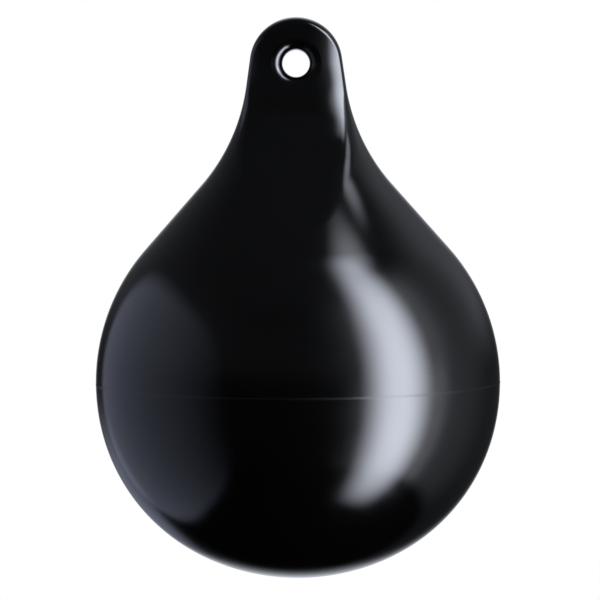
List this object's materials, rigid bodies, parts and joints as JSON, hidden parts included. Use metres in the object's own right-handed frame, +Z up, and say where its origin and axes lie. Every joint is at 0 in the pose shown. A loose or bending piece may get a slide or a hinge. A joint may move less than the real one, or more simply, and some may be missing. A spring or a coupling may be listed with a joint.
{
  "type": "ball fender",
  "caption": "Inflatable vinyl ball fender for boats, drawn up into a flattened lug with a rounded rope eye, and closed by a screw valve on the back of its neck.",
  "frame": {"origin": "centre of the rope eye, midway through the lug", "axes": "+Z up, along the axis of the ball from its base to the lug; +Y along the eye, towards the back with the valve; +X to the right as seen from the front"},
  "size_m": [0.301, 0.301, 0.4153],
  "materials": {
    "vinyl": "black flexible vinyl with a smooth moulded gloss",
    "valve_plastic": "black, fine satin",
    "seal_rubber": "matt black"
  },
  "bodies": {
    "root": {"fender_body": "vinyl", "valve_body": "valve_plastic", "valve_screw": "valve_plastic", "valve_seal": "seal_rubber"}
  },
  "joints": []
}
